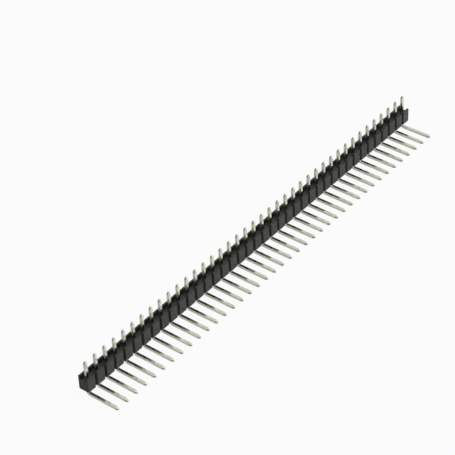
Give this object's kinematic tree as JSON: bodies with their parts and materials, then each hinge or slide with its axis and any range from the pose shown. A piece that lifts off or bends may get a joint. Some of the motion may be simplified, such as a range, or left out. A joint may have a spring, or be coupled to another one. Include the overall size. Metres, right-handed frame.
{
  "type": "right-angle pin header strip",
  "caption": "Single-row right-angle pin header: a grooved black strip that snaps apart at any position, with straight solder tails on one side and bent mating legs on the other.",
  "frame": {"origin": "Middle of the row of tails, on the plane of the feet that seat on a circuit board.", "axes": "+X along the row, from pin_01 to the last pin; +Z the way the straight solder tails point; the bent legs point along -Y."},
  "size_m": [0.1008, 0.0083, 0.0078],
  "materials": {
    "insulator": "satin black glass-filled thermoplastic, as moulded",
    "contacts": "square brass wire plated with bright tin all over"
  },
  "bodies": {
    "root": {"insulator": "insulator", "pin_01": "contacts", "pin_02": "contacts", "pin_03": "contacts", "pin_04": "contacts", "pin_05": "contacts", "pin_06": "contacts", "pin_07": "contacts", "pin_08": "contacts", "pin_09": "contacts", "pin_10": "contacts", "pin_11": "contacts", "pin_12": "contacts", "pin_13": "contacts", "pin_14": "contacts", "pin_15": "contacts", "pin_16": "contacts", "pin_17": "contacts", "pin_18": "contacts", "pin_19": "contacts", "pin_20": "contacts", "pin_21": "contacts", "pin_22": "contacts", "pin_23": "contacts", "pin_24": "contacts", "pin_25": "contacts", "pin_26": "contacts", "pin_27": "contacts", "pin_28": "contacts", "pin_29": "contacts", "pin_30": "contacts", "pin_31": "contacts", "pin_32": "contacts", "pin_33": "contacts", "pin_34": "contacts", "pin_35": "contacts", "pin_36": "contacts", "pin_37": "contacts", "pin_38": "contacts", "pin_39": "contacts", "pin_40": "contacts"}
  },
  "joints": []
}
